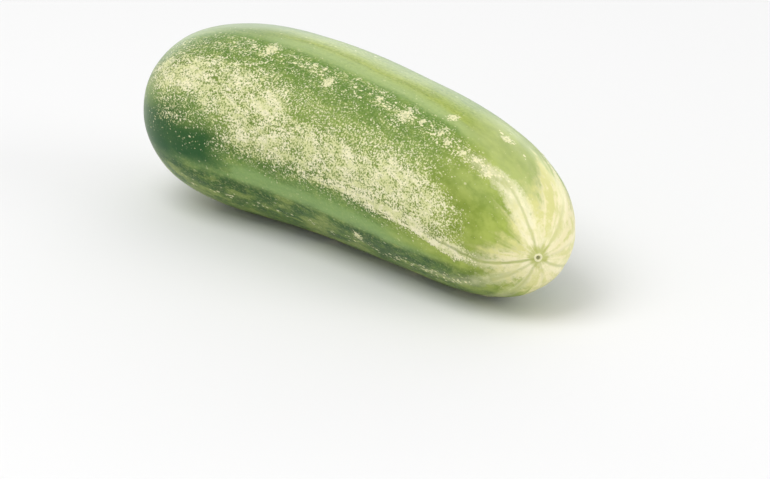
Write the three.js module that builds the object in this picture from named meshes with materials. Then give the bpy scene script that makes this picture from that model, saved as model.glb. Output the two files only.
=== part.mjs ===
// A short, thick cucumber, picked and lying on its side: one grown solid with no stalk.
// Millimetres, +Z up. +X runs along the fruit from the stem end to the blossom end. The fruit
// rests on z = 0, and the origin is on that surface below the middle of its box.
import * as THREE from "three";

// The whole fruit. A share u of -1 is its stem end, 0 its middle and 1 its blossom end.
const LENGTH = 165; // along its curved middle line
const THICKNESS = 56; // across its fullest section, nearer the stem end
const TAPER = 0.14; // how much of the thickness goes from the middle to the blossom end
const STEM_END = { fullness: 4.6, roundness: 1.83 };
const BLOSSOM_END = { fullness: 4.2, roundness: 2 };

// The fruit curves towards -Y at both ends, and its ends droop a little.
const STEM_TURN = THREE.MathUtils.degToRad(28); // from the middle to the stem end, evenly
const BLOSSOM_TURN = THREE.MathUtils.degToRad(25); // from the middle to the blossom end
const BLOSSOM_LAG = 2.4; // above 1, most of that turn comes near the end
const DROOP = 2.5;

// The three seed chambers show as three faint lobes round the fruit.
const LOBES = 3;
const LOBE_HEIGHT = 0.3;
const LOBE_TURN = THREE.MathUtils.degToRad(25);

// Shallow furrows run out from the blossom scar, one over each of the ten sap bundles.
const FURROWS = 10;
const FURROW_TURN = THREE.MathUtils.degToRad(4);
const FURROW_DEPTH = 0.25;
const FURROW_REACH = 45; // along the fruit, from the blossom end
const FURROW_START = 5; // radius at which they reach full depth
const FURROW_NARROWNESS = 3;

// The stem scar: a shallow hollow with the low corky disc where the stalk came away.
const STEM_HOLLOW_RADIUS = 7;
const STEM_HOLLOW_DEPTH = 1.4;
const STEM_DISC_RADIUS = 3.4;
const STEM_DISC_EDGE = 1.2; // width of the disc's sloping edge
const STEM_DISC_HEIGHT = 0.9;

// The blossom scar: a low ring round a small pit.
const BLOSSOM_RING_RADIUS = 1;
const BLOSSOM_RING_WIDTH = 0.9;
const BLOSSOM_RING_HEIGHT = 0.3;
const BLOSSOM_PIT_RADIUS = 0.6;
const BLOSSOM_PIT_DEPTH = 0.5;

// The underside that carries the weight is pressed flat by this much.
const REST_DEPTH = 0.5;

// How finely the skin is divided. Rings are laid out by latitude, as on a globe.
const AROUND = 60;
const BODY_STEP = 0.07; // radians of latitude
const RINGS_IN_SCAR = 4; // fine rings across each scar's own radius
const FINE_RINGS = 8; // fine rings before the steps start to grow
const STEP_GROWTH = 1.35;
const WALK_STEPS = 60; // short straight steps along the curved middle line
const SAMPLES = 400; // sections used to find the fullest one and the centre of mass

// The outline before it is sized, at a share u of the half length.
function outline(u) {
  const end = u < 0 ? STEM_END : BLOSSOM_END;
  const swell = (1 - Math.abs(u) ** end.fullness) ** (1 / end.roundness);
  return swell * (1 - TAPER * u);
}

const samples = Array.from({ length: SAMPLES + 1 }, (_, i) => (2 * i) / SAMPLES - 1);
const FULL_RADIUS = THICKNESS / 2 / Math.max(...samples.map(outline));
const radiusAt = (u) => FULL_RADIUS * outline(u);

// Lying down, the fruit tips until the skin under its centre of mass is level.
function restingSlope() {
  const weight = samples.map((u) => outline(u) ** 2);
  const total = weight.reduce((sum, w) => sum + w, 0);
  const middle = samples.reduce((sum, u, i) => sum + u * weight[i], 0) / total;
  const reach = 1 / SAMPLES;
  const rise = radiusAt(middle + reach) - radiusAt(middle - reach);
  return rise / (reach * LENGTH);
}
const SLOPE = restingSlope();

// The direction of the middle line at u, in the plane of the table.
function headingAt(u) {
  return u < 0 ? -STEM_TURN * u : -BLOSSOM_TURN * u ** BLOSSOM_LAG;
}

// The centre of the fruit's section at u, reached by walking the middle line from u = 0.
function centreAt(u) {
  const distance = (u * LENGTH) / 2;
  const step = distance / WALK_STEPS;
  const centre = new THREE.Vector3(0, 0, SLOPE * distance - DROOP * u * u);
  for (let i = 0; i < WALK_STEPS; i++) {
    const heading = headingAt((u * (i + 0.5)) / WALK_STEPS);
    centre.x += step * Math.cos(heading);
    centre.y += step * Math.sin(heading);
  }
  return centre;
}

const hump = (distance, halfWidth) => Math.exp(-((distance / halfWidth) ** 2));

// How far each scar lifts the skin along the fruit, at a distance from the scar's centre.
function stemScar(distance) {
  const [inner, outer] = [STEM_DISC_RADIUS - STEM_DISC_EDGE / 2, STEM_DISC_RADIUS + STEM_DISC_EDGE / 2];
  const disc = 1 - THREE.MathUtils.smoothstep(distance, inner, outer);
  return STEM_DISC_HEIGHT * disc - STEM_HOLLOW_DEPTH * hump(distance, STEM_HOLLOW_RADIUS / Math.SQRT2);
}

function blossomScar(distance) {
  const ring = BLOSSOM_RING_HEIGHT * hump(distance - BLOSSOM_RING_RADIUS, BLOSSOM_RING_WIDTH / 2);
  return ring - BLOSSOM_PIT_DEPTH * hump(distance, BLOSSOM_PIT_RADIUS);
}

// How far the lobes and furrows move the skin away from the middle line.
function relief(u, angle) {
  const radius = radiusAt(u);
  const lobe = LOBE_HEIGHT * (radius / FULL_RADIUS) * Math.cos(LOBES * (angle - LOBE_TURN));
  const fromEnd = ((1 - u) * LENGTH) / 2;
  const fade = 1 - THREE.MathUtils.smoothstep(fromEnd, 0, FURROW_REACH);
  const start = THREE.MathUtils.smoothstep(radius, 0, FURROW_START);
  const groove = Math.max(0, Math.cos(FURROWS * (angle - FURROW_TURN))) ** FURROW_NARROWNESS;
  return lobe - FURROW_DEPTH * fade * start * groove;
}

// The middle of the ring of skin with this radius at u, moved along the fruit by the scar there.
function ringMiddle(u, radius) {
  const heading = headingAt(u);
  const along = new THREE.Vector3(Math.cos(heading), Math.sin(heading), 0);
  return centreAt(u).addScaledVector(along, u < 0 ? -stemScar(radius) : blossomScar(radius));
}

// One ring of skin at u: its points stand square to the middle line, AROUND of them.
function skinRing(u) {
  const heading = headingAt(u);
  const sideways = new THREE.Vector3(-Math.sin(heading), Math.cos(heading), 0);
  const radius = radiusAt(u);
  const middle = ringMiddle(u, radius);
  return Array.from({ length: AROUND }, (_, i) => {
    const angle = (i * 2 * Math.PI) / AROUND;
    const reach = radius + relief(u, angle);
    const point = middle.clone().addScaledVector(sideways, reach * Math.cos(angle));
    return point.setZ(point.z + reach * Math.sin(angle));
  });
}

// The rings from one end to the middle, as angles from that end: fine over the scar, then wider.
function latitudes(scarRadius, end) {
  const share = (1 - (scarRadius / FULL_RADIUS) ** end.roundness) ** (1 / end.fullness);
  let step = Math.acos(share) / RINGS_IN_SCAR;
  const list = [step];
  while (list.at(-1) < Math.PI / 2) {
    if (list.length >= FINE_RINGS) step = Math.min(step * STEP_GROWTH, BODY_STEP);
    list.push(list.at(-1) + step);
  }
  const fit = Math.PI / 2 / list.at(-1);
  return list.map((latitude) => latitude * fit);
}

// Every ring's share, from the stem end to the blossom end, with the middle one listed once.
function ringShares() {
  const stem = latitudes(STEM_DISC_RADIUS, STEM_END).map((latitude) => -Math.cos(latitude));
  const blossom = latitudes(BLOSSOM_RING_RADIUS, BLOSSOM_END).map((latitude) => Math.cos(latitude));
  return [...stem, ...blossom.slice(0, -1).reverse()];
}

// The closed skin: a point at each end and rings of points between them.
function skinGeometry() {
  const rings = ringShares().map(skinRing);
  const points = [ringMiddle(-1, 0), ...rings.flat(), ringMiddle(1, 0)];
  const last = rings.length - 1;
  const at = (ring, i) => 1 + ring * AROUND + (i % AROUND);

  const faces = [];
  for (let i = 0; i < AROUND; i++) {
    faces.push(0, at(0, i + 1), at(0, i));
    for (let ring = 0; ring < last; ring++) {
      faces.push(at(ring, i), at(ring, i + 1), at(ring + 1, i + 1));
      faces.push(at(ring, i), at(ring + 1, i + 1), at(ring + 1, i));
    }
    faces.push(points.length - 1, at(last, i), at(last, i + 1));
  }
  return new THREE.BufferGeometry().setFromPoints(points).setIndex(faces);
}

// Lays the skin on z = 0, pressed flat where it rests, with its box centred over the origin.
function layDown(geometry) {
  geometry.computeBoundingBox();
  const box = geometry.boundingBox;
  const middle = box.getCenter(new THREE.Vector3());
  geometry.translate(-middle.x, -middle.y, -box.min.z - REST_DEPTH);
  const position = geometry.getAttribute("position");
  for (let i = 0; i < position.count; i++) position.setZ(i, Math.max(0, position.getZ(i)));
  geometry.computeVertexNormals();
  return geometry;
}

const skin = new THREE.MeshStandardMaterial({ color: 0x7c9f4c, roughness: 0.42, metalness: 0 });
const cucumber = new THREE.Mesh(layDown(skinGeometry()), skin);
cucumber.name = "cucumber";

const part = new THREE.Group();
part.add(cucumber);

export default part;
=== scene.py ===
import math
import random

import bmesh
import bpy
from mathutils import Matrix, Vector, kdtree, noise


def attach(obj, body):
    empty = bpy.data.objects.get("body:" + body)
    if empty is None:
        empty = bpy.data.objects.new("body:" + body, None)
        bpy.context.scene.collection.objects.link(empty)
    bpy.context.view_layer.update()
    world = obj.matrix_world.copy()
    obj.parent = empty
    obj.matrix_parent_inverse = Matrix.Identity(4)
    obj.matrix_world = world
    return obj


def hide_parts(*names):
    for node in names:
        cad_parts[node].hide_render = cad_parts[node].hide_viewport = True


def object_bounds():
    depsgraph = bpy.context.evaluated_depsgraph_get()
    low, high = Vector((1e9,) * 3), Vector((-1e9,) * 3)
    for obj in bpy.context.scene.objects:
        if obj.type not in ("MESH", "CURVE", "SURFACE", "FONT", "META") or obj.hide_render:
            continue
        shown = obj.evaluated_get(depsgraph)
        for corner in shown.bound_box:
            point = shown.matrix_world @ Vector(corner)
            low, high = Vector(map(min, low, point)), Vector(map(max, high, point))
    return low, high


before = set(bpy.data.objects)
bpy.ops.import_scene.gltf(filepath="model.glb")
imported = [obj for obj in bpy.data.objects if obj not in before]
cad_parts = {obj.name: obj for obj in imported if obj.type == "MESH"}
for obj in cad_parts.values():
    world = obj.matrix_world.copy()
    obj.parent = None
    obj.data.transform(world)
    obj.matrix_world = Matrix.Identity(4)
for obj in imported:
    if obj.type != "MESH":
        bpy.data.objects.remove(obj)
cad_low, cad_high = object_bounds()

# ------------------------------------------------------------------------------------ the fruit
# One fruit, grown whole: a blunt, curved body that lies on its side. Ten sap bundles run along it
# under the skin. They meet at the blossom scar, and the warts of its early spines stand on them.

MM = 0.001

# A share of -1 is the stem end, 0 the middle and 1 the blossom end.
LENGTH = 165 * MM  # along the curved middle line
THICKNESS = 56 * MM  # across the fullest section
TAPER = 0.14
STEM_END = (4.6, 1.83)  # how full and how round the outline is
BLOSSOM_END = (4.2, 2.0)
STEM_TURN = math.radians(28)
BLOSSOM_TURN = math.radians(25)
BLOSSOM_LAG = 2.4
DROOP = 2.5 * MM
REST_DEPTH = 0.5 * MM

RINGS = 340
AROUND = 256
RING_CROWDING = 0.5  # how much closer the rings stand at the ends than they would evenly
WALK_STEPS = 60  # short straight steps along the curved middle line

LOBES = 3
LOBE_HEIGHT = 0.3 * MM
LOBE_TURN = math.radians(25)
# Each bundle's place in degrees from the top towards -Y, at the blossom scar and along the body,
# how pale its skin is near the scar, how dark the line beside that is, and how flecked it is.
BUNDLE_LINES = (
    (13, 23, 1.0, 0.7, 1.0), (56, 58, 0.0, 0.1, 0.0), (103, 87, 0.6, 1.0, 0.1),
    (130, 128, 0.6, 0.5, 0.6), (160, 164, 0.5, 0.6, 0.5), (-163, -160, 0.3, 0.3, 0.8),
    (-124, -122, 0.8, 0.6, 1.0), (-88, -84, 0.4, 0.3, 0.6), (-48, -52, 0.6, 0.4, 0.9),
    (-18, -14, 0.1, 0.2, 0.1),
)
RIDGE_BUNDLE = 2  # the third bundle, a pale ridge low on the -Y side
BEND_START, BEND_END = 10 * MM, 46 * MM  # from the scar, between the one place and the other
FURROW_DEPTH = 0.22 * MM
FURROW_REACH = 50 * MM  # from the scar
FURROW_START = 4 * MM  # radius at which they reach full depth
FURROW_WIDTH = 0.4 * MM  # at the scar
FURROW_SPREAD = 0.04  # how much they widen for each unit of the way from it
VALLEY_DEPTH = 0.1 * MM  # the bundles' shallow valleys along the body
VALLEY_WIDTH = 4 * MM

STEM_DISC_TOP, STEM_DISC_FOOT = 2.8 * MM, 4.0 * MM  # radii at which its slope starts and ends
STEM_DISC_HEIGHT = 0.9 * MM
STEM_HOLLOW_WIDTH = 4.95 * MM
STEM_HOLLOW_DEPTH = 1.4 * MM
SCAR_RING_RADIUS = 1.0 * MM
SCAR_RING_WIDTH = 0.45 * MM
SCAR_RING_HEIGHT = 0.3 * MM
SCAR_PIT_WIDTH = 0.6 * MM
SCAR_PIT_DEPTH = 0.5 * MM


def smooth(low, high, value):
    """0 up to low, 1 from high, and an even S between them."""
    share = min(1.0, max(0.0, (value - low) / (high - low)))
    return share * share * (3 - 2 * share)


def outline(share):
    """The radius before it is sized."""
    fullness, roundness = STEM_END if share < 0 else BLOSSOM_END
    swell = max(0.0, 1 - abs(share) ** fullness) ** (1 / roundness)
    return swell * (1 - TAPER * share)


SAMPLES = [i / 200 - 1 for i in range(401)]  # even shares from end to end
FULL_RADIUS = THICKNESS / 2 / max(outline(share) for share in SAMPLES)


def resting_slope():
    """Lying down, the fruit tips until the skin under its centre of mass is level."""
    weights = [outline(share) ** 2 for share in SAMPLES]
    middle = sum(s * w for s, w in zip(SAMPLES, weights)) / sum(weights)
    reach = 0.0025  # a short step to either side
    return FULL_RADIUS * (outline(middle + reach) - outline(middle - reach)) / (reach * LENGTH)


SLOPE = resting_slope()


def heading(share):
    """Which way the middle line runs, turned from +X towards +Y."""
    return -STEM_TURN * share if share < 0 else -BLOSSOM_TURN * share**BLOSSOM_LAG


def centre(share):
    """The centre of the section at a share, reached by walking the curved middle line."""
    reach = share * LENGTH / 2
    place = Vector((0, 0, SLOPE * reach - DROOP * share * share))
    for i in range(WALK_STEPS):
        way = heading(share * (i + 0.5) / WALK_STEPS)
        place += reach / WALK_STEPS * Vector((math.cos(way), math.sin(way), 0))
    return place


def hump(distance, half_width):
    """1 at no distance, falling smoothly to nearly nothing by twice the half width."""
    return math.exp(-((distance / half_width) ** 2))


def stem_scar(distance):
    """The low corky disc where the stalk came away, in its shallow hollow."""
    disc = 1 - smooth(STEM_DISC_TOP, STEM_DISC_FOOT, distance)
    return STEM_DISC_HEIGHT * disc - STEM_HOLLOW_DEPTH * hump(distance, STEM_HOLLOW_WIDTH)


def blossom_scar(distance):
    """A low ring round a small pit."""
    ring = SCAR_RING_HEIGHT * hump(distance - SCAR_RING_RADIUS, SCAR_RING_WIDTH)
    return ring - SCAR_PIT_DEPTH * hump(distance, SCAR_PIT_WIDTH)


def relief(share, angle, radius):
    """How far the lobes, the furrows and the bundles' valleys move the skin out."""
    out = LOBE_HEIGHT * (radius / FULL_RADIUS) * math.cos(LOBES * (angle - LOBE_TURN))
    from_scar = math.hypot((1 - share) * LENGTH / 2, radius)
    furrow = FURROW_DEPTH * (1 - smooth(0, FURROW_REACH, from_scar))
    for near, far, _, darkness, _ in BUNDLE_LINES:
        line = near + (far - near) * smooth(BEND_START, BEND_END, from_scar)
        off = math.radians((math.degrees(angle) - 90 - line + 180) % 360 - 180) * radius
        groove = hump(off, FURROW_WIDTH + FURROW_SPREAD * from_scar)
        depth = furrow * (0.4 + 0.6 * darkness) * groove + VALLEY_DEPTH * hump(off, VALLEY_WIDTH)
        out -= smooth(0, FURROW_START, radius) * depth
    return out


def section(share):
    """A ring's middle, its sideways direction and its radius."""
    way = heading(share)
    along = Vector((math.cos(way), math.sin(way), 0))
    sideways = Vector((-math.sin(way), math.cos(way), 0))
    radius = FULL_RADIUS * outline(share)
    lift = -stem_scar(radius) if share < 0 else blossom_scar(radius)
    return centre(share) + lift * along, sideways, radius


def ring_share(ring):
    """Where a ring stands: the rings crowd towards both ends."""
    even = ring / RINGS
    crowded = even - RING_CROWDING * math.sin(2 * math.pi * even) / (2 * math.pi)
    return -math.cos(math.pi * crowded)


# The skin starts as a globe with its poles at the two ends, and each point is moved to its place.
skin_mesh = bmesh.new()
bmesh.ops.create_uvsphere(skin_mesh, u_segments=AROUND, v_segments=RINGS, radius=1)
grown = skin_mesh.verts.layers.float_vector.new("grown")  # its place if the fruit were straight
wart = skin_mesh.verts.layers.float.new("wart")  # 1 at the middle of a wart, 0 away from it
sections = [section(ring_share(ring)) for ring in range(RINGS + 1)]
for vert in skin_mesh.verts:
    ring = round((1 - math.acos(max(-1.0, min(1.0, vert.co.z))) / math.pi) * RINGS)
    share = ring_share(ring)
    middle, sideways, radius = sections[ring]
    angle = math.atan2(vert.co.y, vert.co.x)
    vert[grown] = (share * LENGTH / 2, radius * math.cos(angle), radius * math.sin(angle))
    reach = radius + relief(share, angle, radius) if radius > 0 else 0
    vert.co = middle + reach * (math.cos(angle) * sideways + math.sin(angle) * Vector((0, 0, 1)))

# Laid down over the CAD solid, it sinks by the depth that its resting side gives.
low = Vector(min(vert.co[axis] for vert in skin_mesh.verts) for axis in range(3))
high = Vector(max(vert.co[axis] for vert in skin_mesh.verts) for axis in range(3))
shift = (cad_low + cad_high - low - high) / 2
shift.z = cad_low.z - low.z - REST_DEPTH
bmesh.ops.translate(skin_mesh, verts=skin_mesh.verts, vec=shift)
bmesh.ops.recalc_face_normals(skin_mesh, faces=skin_mesh.faces)
skin_mesh.normal_update()

# The warts, as (share, degrees round the fruit from +Y, width in mm): first those placed one by
# one on the upper and -Y sides, then a loose row on each bundle of the other sides.
WART_RISE = 0.05  # height of a wart's swelling for each unit of its width
WART_NUB_HEIGHT, WART_NUB_WIDTH = 0.08 * MM, 0.5 * MM  # the spine's stump in its middle
warts = [
    (-0.375, 111, 3.4), (-0.45, 113, 1.3), (-0.15, 112, 1.4), (-0.10, 112, 1.2), (-0.03, 120, 2.8),
    (0.06, 108, 1.2), (0.21, 115, 1.8), (0.355, 117, 3.4), (0.43, 114, 1.5), (0.49, 98, 2.5),
    (0.53, 114, 1.6), (0.58, 117, 1.6), (0.66, 116, 1.5), (0.66, 78, 2.4), (0.72, 113, 1.6),
    (0.79, 114, 1.6), (0.25, 212, 2.6),
]
chance = random.Random(4)
for _, far, _, _, _ in BUNDLE_LINES:
    share = chance.uniform(-0.7, -0.55)
    if -30 < far < 140:
        continue
    while share < 0.8:
        warts.append((share, 90 + far + chance.uniform(-4, 4), chance.uniform(1.3, 3.2)))
        share += chance.uniform(0.12, 0.3)

tree = kdtree.KDTree(len(skin_mesh.verts))
skin_mesh.verts.ensure_lookup_table()
for vert in skin_mesh.verts:
    tree.insert(vert[grown], vert.index)
tree.balance()
lifts = {}
for share, degrees, width in warts:
    angle = math.radians(degrees)
    radius = FULL_RADIUS * outline(share)
    spot = Vector((share * LENGTH / 2, radius * math.cos(angle), radius * math.sin(angle)))
    size = width * MM
    for _, index, distance in tree.find_range(spot, 2 * size):
        swelling = WART_RISE * size * hump(distance, 0.6 * size)
        nub = WART_NUB_HEIGHT * hump(distance, WART_NUB_WIDTH)
        lifts[index] = lifts.get(index, 0) + swelling + nub
        vert = skin_mesh.verts[index]
        vert[wart] = max(vert[wart], 1 - distance / (1.2 * size))

# The skin between them isn't quite even: slow swells, longer along the fruit than round it, that
# die out at both scars.
SWELLS = ((Vector((24, 14, 14)) * MM, 0.22 * MM), (Vector((9, 5, 5)) * MM, 0.05 * MM))
SWELL_START = 12 * MM  # radius at which they reach full height
for vert in skin_mesh.verts:
    place = vert[grown]
    edge = smooth(0, SWELL_START, math.hypot(place.y, place.z))
    lift = lifts.get(vert.index, 0)
    for size, height in SWELLS:
        spot = Vector(place[axis] / size[axis] for axis in range(3))
        lift += edge * height * noise.noise(spot)
    vert.co += lift * vert.normal
for vert in skin_mesh.verts:
    vert.co.z = max(cad_low.z, vert.co.z)

fruit_data = bpy.data.meshes.new("cucumber_fruit")
skin_mesh.to_mesh(fruit_data)
skin_mesh.free()
fruit_data.shade_smooth()
fruit = bpy.data.objects.new("cucumber_fruit", fruit_data)
bpy.context.collection.objects.link(fruit)


class Value:
    """A number that varies over a surface. Arithmetic on it adds Math nodes to its finish."""

    def __init__(self, finish, socket):
        self.finish = finish
        self.socket = socket

    def __add__(self, other):
        return self.finish.maths("ADD", self, other)

    def __sub__(self, other):
        return self.finish.maths("SUBTRACT", self, other)

    def __rsub__(self, other):
        return self.finish.maths("SUBTRACT", other, self)

    def __mul__(self, other):
        return self.finish.maths("MULTIPLY", self, other)

    def __truediv__(self, other):
        return self.finish.maths("DIVIDE", self, other)

    def __pow__(self, other):
        return self.finish.maths("POWER", self, other)

    def __neg__(self):
        return self.finish.maths("MULTIPLY", self, -1)

    __radd__ = __add__
    __rmul__ = __mul__


class Finish:
    """A material and its nodes."""

    def __init__(self, name):
        self.material = bpy.data.materials.new(name)
        self.material.use_nodes = True
        self.nodes = self.material.node_tree.nodes
        self.shader = self.nodes["Principled BSDF"]

    def node(self, kind, settings, sockets):
        """Adds a node: its settings first, then the values or links of its sockets."""
        made = self.nodes.new("ShaderNode" + kind)
        for name, value in settings.items():
            if name == "stops":
                self.set_stops(made.color_ramp, value)
            else:
                setattr(made, name, value)
        for name, value in sockets.items():
            self.feed(made.inputs[name], value)
        return made

    def set_stops(self, ramp, stops):
        while len(ramp.elements) < len(stops):
            ramp.elements.new(1)
        for element, (position, colour) in zip(ramp.elements, stops):
            element.position = position
            element.color = colour

    def feed(self, socket, value):
        if isinstance(value, Value):
            value = value.socket
        if isinstance(value, bpy.types.NodeSocket):
            self.material.node_tree.links.new(value, socket)
        else:
            socket.default_value = value

    def maths(self, operation, *numbers):
        made = self.node("Math", {"operation": operation}, dict(enumerate(numbers)))
        return Value(self, made.outputs[0])

    def ease(self, low, high, value):
        """0 up to low, 1 from high, and an even S between them. low may be the larger."""
        sockets = {"Value": value, "From Min": low, "From Max": high}
        made = self.node("MapRange", {"interpolation_type": "SMOOTHSTEP"}, sockets)
        return Value(self, made.outputs["Result"])

    def mix(self, share, below, above):
        """The colour above laid over the colour below by a share."""
        made = self.node("Mix", {"data_type": "RGBA"}, {0: share, 6: below, 7: above})
        return made.outputs[2]

    def stretched(self, place, size, stretch):
        """The place in units of size, drawn out along the fruit."""
        scale = (1 / (size * stretch), 1 / size, 1 / size)
        made = self.node("VectorMath", {"operation": "MULTIPLY"}, {0: place, 1: scale})
        return made.outputs[0]

    def jittered(self, place, size, reach):
        """The place pushed about a little, which makes ragged whatever is drawn with it."""
        sockets = {"Vector": self.stretched(place, size, 1.0), "Scale": 1.0}
        push = self.node("TexNoise", {}, sockets).outputs["Color"]
        sockets = {0: push, 1: (reach, reach, reach), 2: place}
        return self.node("VectorMath", {"operation": "MULTIPLY_ADD"}, sockets).outputs[0]

    def noise(self, place, size, stretch=1.0, detail=2.0, roughness=0.5):
        """Even noise from 0 to 1 about 0.5, its lumps about this size."""
        sockets = {
            "Vector": self.stretched(place, size, stretch),
            "Scale": 1.0,
            "Detail": detail,
            "Roughness": roughness,
        }
        return Value(self, self.node("TexNoise", {}, sockets).outputs[0])

    def dots(self, place, size, stretch, density):
        """Scattered round dots, in cells of this size, of which a share of density are filled."""
        sockets = {"Vector": self.stretched(place, size, stretch), "Scale": 1.0}
        cell = self.node("TexVoronoi", {}, sockets)
        chances = self.node("SeparateColor", {}, {0: cell.outputs["Color"]})
        radius = Value(self, chances.outputs[1]) * 0.25 + 0.2
        distance = Value(self, cell.outputs["Distance"])
        filled = self.ease(-0.04, 0.04, density - Value(self, chances.outputs[0]))
        return filled * self.ease(0.08, -0.08, distance - radius)


def paint(code):
    """A colour from its usual six-figure code, as the shader's own linear values."""
    parts = [int(code[i : i + 2], 16) / 255 for i in (0, 2, 4)]
    return [p / 12.92 if p < 0.04045 else ((p + 0.055) / 1.055) ** 2.4 for p in parts] + [1.0]


# The skin's finish: waxy green, in long bands round the fruit, under a frosting of cream stipples.
# Places on it are those of a straight fruit, and distances are in millimetres.
skin = Finish("cucumber_skin")
place = skin.node("Attribute", {"attribute_name": "grown"}, {}).outputs["Vector"]
parts = skin.node("SeparateXYZ", {}, {0: place}).outputs
along, across, up = (Value(skin, part) * (1 / MM) for part in parts)
radius = (across * across + up * up) ** 0.5
# Degrees round the fruit from the top: 90 is the -Y side, -90 the +Y side and 180 underneath.
turn = skin.maths("ARCTAN2", -across, up) * math.degrees(1)
half = LENGTH / MM / 2
from_blossom = ((half - along) * (half - along) + radius * radius) ** 0.5
from_stem = ((half + along) * (half + along) + radius * radius) ** 0.5

# Three noises about 0, from broad to fine, that push the pattern about.
drift = skin.noise(place, 26 * MM, 2.0) - 0.5
ripple = skin.noise(place, 5 * MM, 2.5) - 0.5
clump = skin.noise(place, 2.2 * MM, 2.5, 3.0, 0.6) - 0.5
wavy_turn = turn + 10 * drift + 6 * ripple
wavy_along = along + 22 * drift + 8 * ripple


def zone(low_along, high_along, low_turn, high_turn, soft=6.0):
    """A soft-edged patch of skin: millimetres along from the middle, degrees from the top."""
    ends = skin.ease(low_along - soft, low_along + soft, wavy_along)
    ends = ends * skin.ease(high_along + soft, high_along - soft, wavy_along)
    sides = skin.ease(low_turn - soft, low_turn + soft, wavy_turn)
    return ends * sides * skin.ease(high_turn + soft, high_turn - soft, wavy_turn)


# The bands of green, by degrees from the top. The pale stops at 11 and at 109 are painted
# reflections of the soft lights, not the skin's own green.
BANDS = (
    (-180, "939f48"), (-150, "78903e"), (-125, "4a712e"), (-100, "6c8c3a"), (-60, "6e8e3d"),
    (-38, "587e32"), (-20, "809a49"), (-6, "96a94c"), (3, "a0af48"), (11, "a3b570"),
    (18, "6a8f3c"), (26, "5f8434"), (38, "718f3f"), (52, "8aa24f"), (78, "8aa24f"),
    (92, "4a7029"), (98, "6c8d45"), (109, "86a45c"), (115, "426522"), (135, "4c711f"),
    (160, "738a38"), (180, "939f48"),
)
stops = [((degrees + 180) / 360, paint(code)) for degrees, code in BANDS]
ramp = skin.node("ValToRGB", {"stops": stops}, {"Fac": (wavy_turn + 180) / 360})
colour = ramp.outputs["Color"]

# Streaks run lengthwise in every band, strongest low on the sides, and the green is mottled and
# grainy, but smooth again near the ends. Low on the sides the extra streaks and the blotches are
# partly painted reflection.
streaks = skin.noise(place, 1.4 * MM, 7.0, 3.0, 0.6)
mottle = skin.noise(place, 2.2 * MM, 2.0, 4.0, 0.65)
grain = skin.noise(place, 0.7 * MM, 1.5, 3.0, 0.7) - 0.5
on_body = skin.ease(14, 30, from_blossom + 16 * drift) * skin.ease(6, 26, from_stem + 16 * drift)
low_side = skin.ease(104, 118, turn) + skin.ease(-104, -118, turn)
blotches_and_reflection = skin.noise(place, 4.5 * MM, 2.5, 4.0, 0.55)
colour = skin.mix((0.25 + 0.45 * low_side) * skin.ease(0.45, 0.65, streaks), colour, paint("28541b"))
colour = skin.mix(0.25 * skin.ease(0.5, 0.62, mottle), colour, paint("a3b35a"))
# Low on the sides, pale and dark blotches: partly the skin's mottling, partly painted reflection.
colour = skin.mix(0.6 * low_side * skin.ease(0.5, 0.62, blotches_and_reflection), colour, paint("9aa856"))
colour = skin.mix(0.7 * low_side * skin.ease(0.5, 0.38, blotches_and_reflection), colour, paint("1c4716"))
colour = skin.mix(0.4 * on_body * skin.ease(0, -0.2, grain), colour, paint("3f6b24"))
colour = skin.mix(0.4 * on_body * skin.ease(0, 0.2, grain), colour, paint("bdc67e"))

# Two paler and smoother bands, one beside the top and one low on the -Y side: painted reflections of
# the soft lights.
colour = skin.mix(0.5 * zone(-36, 66, 6, 15, 3.0), colour, paint("a4b97a"))
colour = skin.mix(0.6 * zone(-32, 60, 101, 111, 2.5), colour, paint("8fad6a"))

# Towards the stem the -Y side has a deep green patch, the top has a painted milky sheen and the end
# is duller.
colour = skin.mix(0.5 * zone(-78, -40, 62, 82, 8.0), colour, paint("3f7034"))
deep_green = skin.maths("MAXIMUM", zone(-66, -37, 80, 108, 8.0), zone(-84, -54, 70, 114, 9.0))
colour = skin.mix(0.95 * deep_green, colour, paint("0c4c1e"))
# Painted sheen: a milky grey-green veil over the top towards the stem.
colour = skin.mix(0.7 * zone(-90, -34, -40, 12, 12.0), colour, paint("6b8758"))
colour = skin.mix(0.5 * skin.ease(30, 8, from_stem + 10 * drift), colour, paint("5d7f42"))

# Towards the blossom it yellows, later low on the sides, and pales on top, partly as painted sheen.
# The last stretch is cream, later on the -Y side, where a green patch runs on towards the scar, and
# further along the top on the +Y side, there partly painted sheen.
spoke = skin.node("CombineXYZ", {}, {"Y": across / radius, "Z": up / radius}).outputs[0]
rays = skin.noise(spoke, 0.2, 1.0, 3.0) - 0.5
yellowing = skin.ease(58, 30, from_blossom + 40 * drift + 20 * low_side)
yellow = skin.mix(skin.ease(-0.3, 0.3, clump + ripple), paint("879a36"), paint("b0bd5c"))
colour = skin.mix(0.85 * yellowing, colour, yellow)
# Partly painted sheen: a pale grey-green veil over the top near the blossom.
colour = skin.mix(0.45 * zone(46, 84, -34, 12, 8.0), colour, paint("b4bf85"))
uneven = 14 * drift + 20 * clump + 20 * rays + 5 * low_side - 8 * skin.ease(-8, -30, turn)
creamy = skin.ease(22, 12, from_blossom + uneven + 5 * zone(50, 95, 40, 80, 7.0))
cap = skin.mix(skin.ease(-0.1, 0.15, clump + rays), paint("d9d690"), paint("f0e6b8"))
colour = skin.mix(0.95 * creamy, colour, cap)

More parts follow.
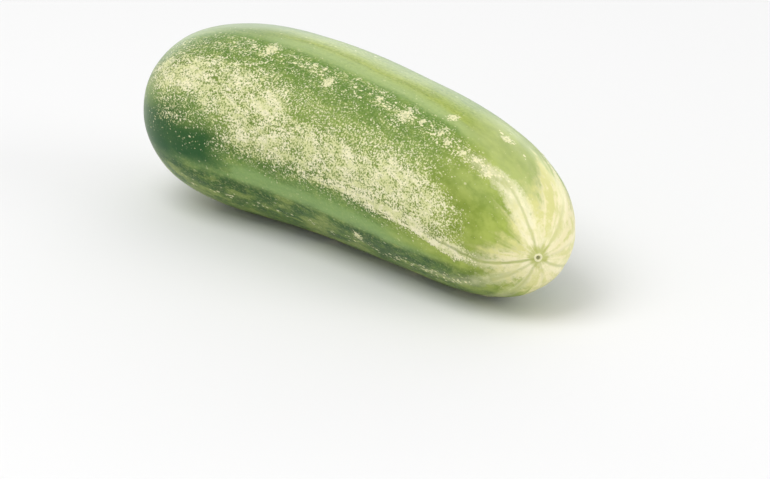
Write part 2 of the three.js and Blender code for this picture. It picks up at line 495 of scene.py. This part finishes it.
# The bundles: pale skin along them, and beside it a fine darker line that fades from the scar.
# off_line is how far the skin is from that line, and off_middle from the middle of the pale skin.
pale = 0
vein = 0
on_bundle = 0
off_middles = []
for near, far, paleness, darkness, flecked in BUNDLE_LINES:
    line = near + (far - near) * skin.ease(BEND_START / MM, BEND_END / MM, from_blossom)
    off_line = skin.maths("WRAP", turn - line + 8 * ripple, 180, -180) * radius * math.radians(1)
    pale_width = 0.9 + 1.9 * paleness * skin.ease(50, 14, from_blossom)
    beside = 1.5 * paleness * skin.ease(14, 32, from_blossom)
    off_middle = skin.maths("ABSOLUTE", off_line - beside)
    off_middles.append(off_middle)
    off_pale = off_middle + 5.0 * clump + 4.0 * grain
    pale += paleness * skin.ease(pale_width + 1.2, pale_width - 1.2, off_pale)
    vein_reach = skin.ease(12 + 32 * darkness, 2 + 12 * darkness, from_blossom + 20 * drift)
    off_vein = skin.maths("ABSOLUTE", off_line) + 0.6 * clump
    vein += darkness * vein_reach * skin.ease(0.8, 0.1, off_vein)
    on_bundle += flecked * skin.ease(2.8, 0.5, off_middle + 3.4 * clump)
pale_reach = skin.ease(44, 20, from_blossom + 40 * drift)
colour = skin.mix(pale * pale_reach * (0.6 + 1.6 * clump), colour, paint("f6efcb"))
colour = skin.mix(0.6 * vein * (1 + 2 * clump), colour, paint("93a244"))

# The stipples: thick on the -Y side, thinner on the far side, sparse between, and none on the
# smooth patches near the blossom.
upper_edge = 28 + 14 * skin.ease(-60, -20, along) - 4 * skin.ease(10, 30, along)
lower_edge = 60 + 29 * skin.ease(-64, -26, along) + 5 * skin.ease(36, 64, along)
near_side = skin.ease(-18, 24, wavy_turn - upper_edge) * skin.ease(14, -8, wavy_turn - lower_edge)
near_side = 0.7 * near_side + 0.5 * zone(-76, -14, 36, 60) + 0.35 * zone(-34, 62, 60, 88)
near_side = skin.maths("MAXIMUM", near_side, 0.5 * zone(-74, -30, 56, 84))
# One bundle runs along this frosting's lower edge, where it thickens to a pale ridge.
ridge_width = 1.4 + 0.9 * skin.ease(20, 50, along)
off_ridge = off_middles[RIDGE_BUNDLE] + 4 * clump
ridge = skin.ease(ridge_width + 1, ridge_width - 1, off_ridge) * skin.ease(-14, 6, wavy_along)
near_side = skin.maths("MAXIMUM", near_side, (1.3 + 0.4 * skin.ease(20, 50, along)) * ridge)
far_side = 0.6 * skin.ease(-48, -66, wavy_turn) * skin.ease(-132, -112, wavy_turn)
sparse = 0.42 * skin.ease(12, 20, wavy_turn) * skin.ease(106, 92, wavy_turn)
sparse = sparse * (1 - 0.6 * deep_green)
smooth_patch = zone(58, 96, 34, 58, 10.0) + zone(73, 96, 30, 96, 9.0)
bare = 1 - skin.maths("MINIMUM", smooth_patch, 1) * (1 - ridge)
density = skin.maths("MAXIMUM", skin.maths("MAXIMUM", near_side, far_side), sparse)
colour = skin.mix(0.5 * density * on_body, colour, paint("687a32"))
thick = density * on_body * bare * (1 + 1.8 * clump + 1.4 * ripple)
ragged_place = skin.jittered(place, 0.5 * MM, 0.7 * MM)
grit = skin.noise(place, 0.52 * MM, 1.3, 2.0, 0.6)
# Where they stand thick they run together into a frost, and elsewhere they are specks.
frost = skin.ease(-0.1, 0.07, grit - 0.7 + 0.2 * thick) * skin.ease(0.1, 0.5, thick)
specks = skin.dots(ragged_place, 0.7 * MM, 1.3, 0.65 * thick * thick)
small_specks = skin.dots(ragged_place, 0.45 * MM, 1.3, 0.5 * thick)
stipple = skin.maths("MAXIMUM", frost, skin.maths("MAXIMUM", specks, small_specks)) * (1 - vein)

# Larger flecks keep to the bundles, and a ragged star of them rings every wart.
flecked_skin = on_bundle * skin.ease(-62, -40, wavy_along) * skin.ease(18, 32, from_blossom)
crowding = (0.7 + 0.8 * skin.ease(85, 35, from_blossom)) * (1 + 2 * clump)
flecks = skin.dots(ragged_place, 0.9 * MM, 1.8, crowding * flecked_skin)
nearness = Value(skin, skin.node("Attribute", {"attribute_name": "wart"}, {}).outputs["Fac"])
scatter = skin.noise(place, 0.6 * MM, 1.3, 3.0, 0.65) - 0.5
star = skin.ease(-0.14, 0.14, nearness - 0.5 + 2.4 * scatter) * skin.ease(0.02, 0.25, nearness)
star_dot = skin.ease(0.78, 0.9, nearness + 0.4 * scatter)
cream = skin.mix(skin.ease(0.4, 0.6, mottle), paint("f8f1cb"), paint("dedea6"))
colour = skin.mix((0.85 + 0.6 * grain) * stipple, colour, cream)
colour = skin.mix((0.8 + 0.8 * grain) * skin.maths("MAXIMUM", flecks, star), colour, paint("f4eec0"))
colour = skin.mix(0.5 * star_dot, colour, paint("8f9a62"))

# The blossom scar: a pale ring, dark inside, in a small green halo.
halo = skin.ease(5.2, 1.4, from_blossom + 6 * ripple + 5 * clump + 4 * rays)
colour = skin.mix(0.65 * halo, colour, paint("a6af42"))
ring = skin.ease(0.5, 0.8, from_blossom) * skin.ease(1.55, 1.25, from_blossom)
colour = skin.mix(0.9 * ring, colour, paint("e9e4bd"))
pit = skin.ease(0.75, 0.45, from_blossom)
colour = skin.mix(0.9 * pit, colour, paint("a5a47c"))

# The stem scar: dry, corky and brown, with a darker green collar.
collar = skin.ease(9, 4.5, from_stem + 2 * ripple)
colour = skin.mix(0.6 * collar, colour, paint("5d7a35"))
cork = skin.ease(3.9, 3.3, from_stem + ripple)
fibre = skin.noise(place, 0.5 * MM, 1.0, 4.0, 0.7)
colour = skin.mix(cork, colour, skin.mix(fibre, paint("6d5f38"), paint("b7a673")))

skin.feed(skin.shader.inputs["Base Color"], colour)
rough = 0.34 + 0.16 * stipple + 0.15 * (mottle - 0.5) + 0.4 * cork
skin.feed(skin.shader.inputs["Roughness"], rough)
pores = skin.noise(place, 0.35 * MM, 1.0, 2.0)
height = 0.03 * stipple + 0.05 * flecks + 0.05 * star + 0.012 * pores + 0.35 * cork * fibre
bump = skin.node("Bump", {}, {"Height": height, "Distance": MM, "Strength": 1.0})
skin.feed(skin.shader.inputs["Normal"], bump.outputs[0])
skin.shader.inputs["Specular IOR Level"].default_value = 0.15
skin.shader.inputs["Subsurface Weight"].default_value = 0.12
skin.shader.inputs["Subsurface Radius"].default_value = (1.0, 1.0, 0.4)
skin.shader.inputs["Subsurface Scale"].default_value = 1.5 * MM
skin.shader.inputs["Coat Weight"].default_value = 0.05
skin.shader.inputs["Coat Roughness"].default_value = 0.3
fruit_data.materials.append(skin.material)

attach(fruit, "root")
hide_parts("cucumber")

# ------------------------------------------------------------------------------------ the stage
# A wide, plain, matt white floor under soft studio light: a pale room, a broad soft light low
# behind the fruit, one above it and a weaker one beside the camera.

FLOOR_REACH = 4  # metres from the fruit to each edge
FLOOR_WHITE = (0.83, 0.83, 0.83, 1)
ROOM_BRIGHTNESS = 0.65

floor_data = bpy.data.meshes.new("floor")
floor_mesh = bmesh.new()
bmesh.ops.create_grid(floor_mesh, x_segments=1, y_segments=1, size=FLOOR_REACH)
floor_mesh.to_mesh(floor_data)
floor_mesh.free()
floor = bpy.data.objects.new("floor", floor_data)
bpy.context.collection.objects.link(floor)
floor_finish = Finish("floor_paper")
floor_finish.shader.inputs["Base Color"].default_value = FLOOR_WHITE
floor_finish.shader.inputs["Roughness"].default_value = 0.9
floor_data.materials.append(floor_finish.material)

AZIMUTH = math.radians(49.5)
ELEVATION = math.radians(20.3)
CAMERA_DISTANCE = 0.8344
right = Vector((math.cos(AZIMUTH), math.sin(AZIMUTH), 0))
back = Vector((math.sin(AZIMUTH), -math.cos(AZIMUTH), 0))  # towards the camera
upward = Vector((0, 0, 1))

world = bpy.data.worlds.new("pale_room")
world.use_nodes = True
room = world.node_tree.nodes["Background"]
room.inputs["Color"].default_value = (1, 1, 1, 1)
room.inputs["Strength"].default_value = ROOM_BRIGHTNESS
bpy.context.scene.world = world

# Each light's place in metres nearer the camera, to its right and up, then its size and watts.
LIGHTS = {
    "rear_light": (-1.5, 0.2, 0.36, (3.0, 0.64), 10.5),
    "key_light": (0.4, -0.5, 1.2, (0.9, 0.9), 9),
    "side_light": (0.6, 1.2, 0.5, (0.8, 0.8), 5),
}
for name, (nearer, rightward, higher, size, watts) in LIGHTS.items():
    light_data = bpy.data.lights.new(name, "AREA")
    light_data.shape = "RECTANGLE"
    light_data.size, light_data.size_y = size
    light_data.energy = watts
    light = bpy.data.objects.new(name, light_data)
    light.location = nearer * back + rightward * right + higher * upward
    light.rotation_euler = (-light.location).to_track_quat("-Z", "Y").to_euler()
    light.visible_camera = False
    bpy.context.collection.objects.link(light)

camera_data = bpy.data.cameras.new("camera")
camera_data.lens = 135
camera = bpy.data.objects.new("camera", camera_data)
aim = Vector((4.1, 5.4, 1.1)) * MM
view_back = math.cos(ELEVATION) * back + math.sin(ELEVATION) * upward
camera.location = aim + CAMERA_DISTANCE * view_back
camera.rotation_euler = view_back.to_track_quat("Z", "Y").to_euler()
bpy.context.collection.objects.link(camera)
bpy.context.scene.camera = camera
bpy.context.scene.view_settings.view_transform = "Standard"
